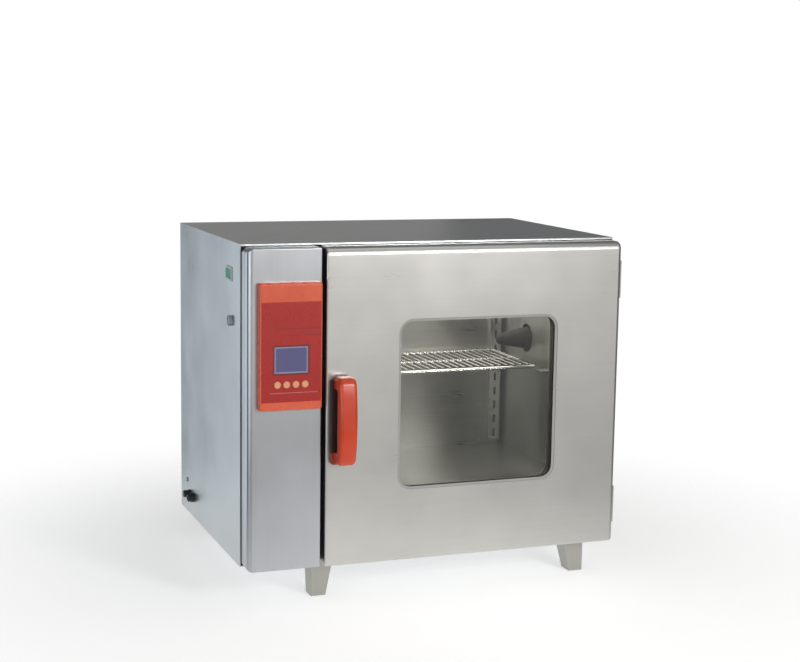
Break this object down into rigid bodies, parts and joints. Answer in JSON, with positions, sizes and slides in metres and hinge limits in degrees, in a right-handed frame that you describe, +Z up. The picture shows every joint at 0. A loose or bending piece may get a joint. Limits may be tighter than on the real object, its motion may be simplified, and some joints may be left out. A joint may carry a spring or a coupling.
{
  "type": "drying oven",
  "caption": "bench drying oven with a hinged door, square window, red pull handle, red control panel, wire shelf, tapered feet, circulating fan and rear air vent",
  "frame": {"origin": "on the bench, under the middle of the oven's whole bounding box", "axes": "+X to the right seen from the front, +Y to the back, so the door faces -Y, and +Z up"},
  "size_m": [0.644, 0.487, 0.555],
  "materials": {
    "casing_grey": "satin grey powder coat",
    "door_white": "smooth off-white coat",
    "frame_grey": "dark grey coat",
    "stainless": "polished stainless sheet",
    "shelf_chrome": "bright chromed wire",
    "hinge_steel": "plated steel",
    "screw_steel": "zinc-plated steel",
    "magnet_ferrite": "dark sintered magnet",
    "insulation_wool": "mineral wool",
    "window_glass": "clear tempered glass",
    "seal_rubber": "black silicone rubber",
    "bezel_red": "coral red moulded plastic",
    "overlay_red": "dark red membrane film",
    "display_grey": "unlit grey-violet display",
    "key_peach": "peach plastic key caps",
    "board_green": "green circuit board",
    "key_black": "black plastic",
    "rocker_green": "translucent green rocker",
    "bung_rubber": "dark silicone rubber",
    "handle_brown": "dark brown plastic",
    "handle_red": "red moulded plastic",
    "vent_steel": "satin stainless",
    "fan_steel": "mill-finish metal",
    "motor_black": "black lacquered steel",
    "heater_tube": "heat-dulled sheathed tube"
  },
  "bodies": {
    "casing": {"top_panel": "casing_grey", "left_side_panel": "casing_grey", "right_side_panel": "casing_grey", "rear_panel": "casing_grey", "base_pan": "casing_grey", "feet": "casing_grey", "control_cover": "door_white", "front_frame": "frame_grey", "partition_wall": "frame_grey", "liner_floor": "stainless", "liner_roof": "stainless", "liner_left_wall": "stainless", "liner_right_wall": "stainless", "liner_back": "stainless", "duct_panel": "stainless", "shelf_standards": "stainless", "shelf_clips": "stainless", "port_sleeve": "stainless", "hinge_brackets": "hinge_steel", "panel_screws": "screw_steel", "foot_bolts": "screw_steel", "catch_magnets": "magnet_ferrite", "chamber_insulation": "insulation_wool", "control_bezel": "bezel_red", "membrane_overlay": "overlay_red", "lcd_display": "display_grey", "control_board": "board_green", "key_switches": "key_black", "limiter_body": "key_black", "fuse_holder": "key_black", "cable_gland": "key_black", "switch_frame": "key_black", "port_bung": "bung_rubber", "vent_tube": "vent_steel", "fan_motor": "motor_black", "transformer": "motor_black", "heater_element": "heater_tube", "temperature_probe": "heater_tube"},
    "door": {"door_skin": "door_white", "door_inner_pan": "stainless", "door_insulation": "insulation_wool", "outer_glass": "window_glass", "inner_glass": "window_glass", "window_seal": "seal_rubber", "window_tunnel": "stainless", "door_gasket": "seal_rubber", "door_hinge_leaves": "hinge_steel", "catch_strikes": "stainless", "handle_base": "handle_brown", "handle_grip": "handle_red"},
    "fan": {"fan_impeller": "fan_steel", "motor_shaft": "fan_steel"},
    "shelf": {"wire_shelf": "shelf_chrome"},
    "button_1": {"button_1": "key_peach"},
    "button_2": {"button_2": "key_peach"},
    "button_3": {"button_3": "key_peach"},
    "button_4": {"button_4": "key_peach"},
    "rocker": {"power_rocker": "rocker_green"},
    "limiter": {"limiter_knob": "key_black"},
    "vent_damper": {"vent_cap": "vent_steel"}
  },
  "joints": [
    {"name": "door_hinge", "type": "hinge", "parent": "casing", "child": "door", "pos_m": [0.317, -0.1695, 0.305], "axis": [0, 0, 1], "range_deg": [0, 120]},
    {"name": "fan_spin", "type": "hinge", "parent": "casing", "child": "fan", "pos_m": [-0.01, 0.1315, 0.305], "axis": [0, 1, 0], "continuous": true},
    {"name": "shelf_slide", "type": "slide", "parent": "casing", "child": "shelf", "axis": [0, -1, 0], "range_m": [0, 0.045]},
    {"name": "rocker_tilt", "type": "hinge", "parent": "casing", "child": "rocker", "pos_m": [-0.307, -0.1085, 0.505], "axis": [0, 0, -1], "range_deg": [0, 18]},
    {"name": "limiter_turn", "type": "hinge", "parent": "casing", "child": "limiter", "pos_m": [-0.31, -0.1185, 0.434], "axis": [1, 0, 0], "range_deg": [0, 270]},
    {"name": "vent_turn", "type": "hinge", "parent": "casing", "child": "vent_damper", "pos_m": [0.17, 0.2365, 0.43], "axis": [0, 1, 0], "range_deg": [0, 60]},
    {"name": "button_1_press", "type": "slide", "parent": "casing", "child": "button_1", "axis": [0, 1, 0], "range_m": [0, 0.0012], "stiffness_N_per_m": 400},
    {"name": "button_2_press", "type": "slide", "parent": "casing", "child": "button_2", "axis": [0, 1, 0], "range_m": [0, 0.0012], "stiffness_N_per_m": 400},
    {"name": "button_3_press", "type": "slide", "parent": "casing", "child": "button_3", "axis": [0, 1, 0], "range_m": [0, 0.0012], "stiffness_N_per_m": 400},
    {"name": "button_4_press", "type": "slide", "parent": "casing", "child": "button_4", "axis": [0, 1, 0], "range_m": [0, 0.0012], "stiffness_N_per_m": 400}
  ]
}
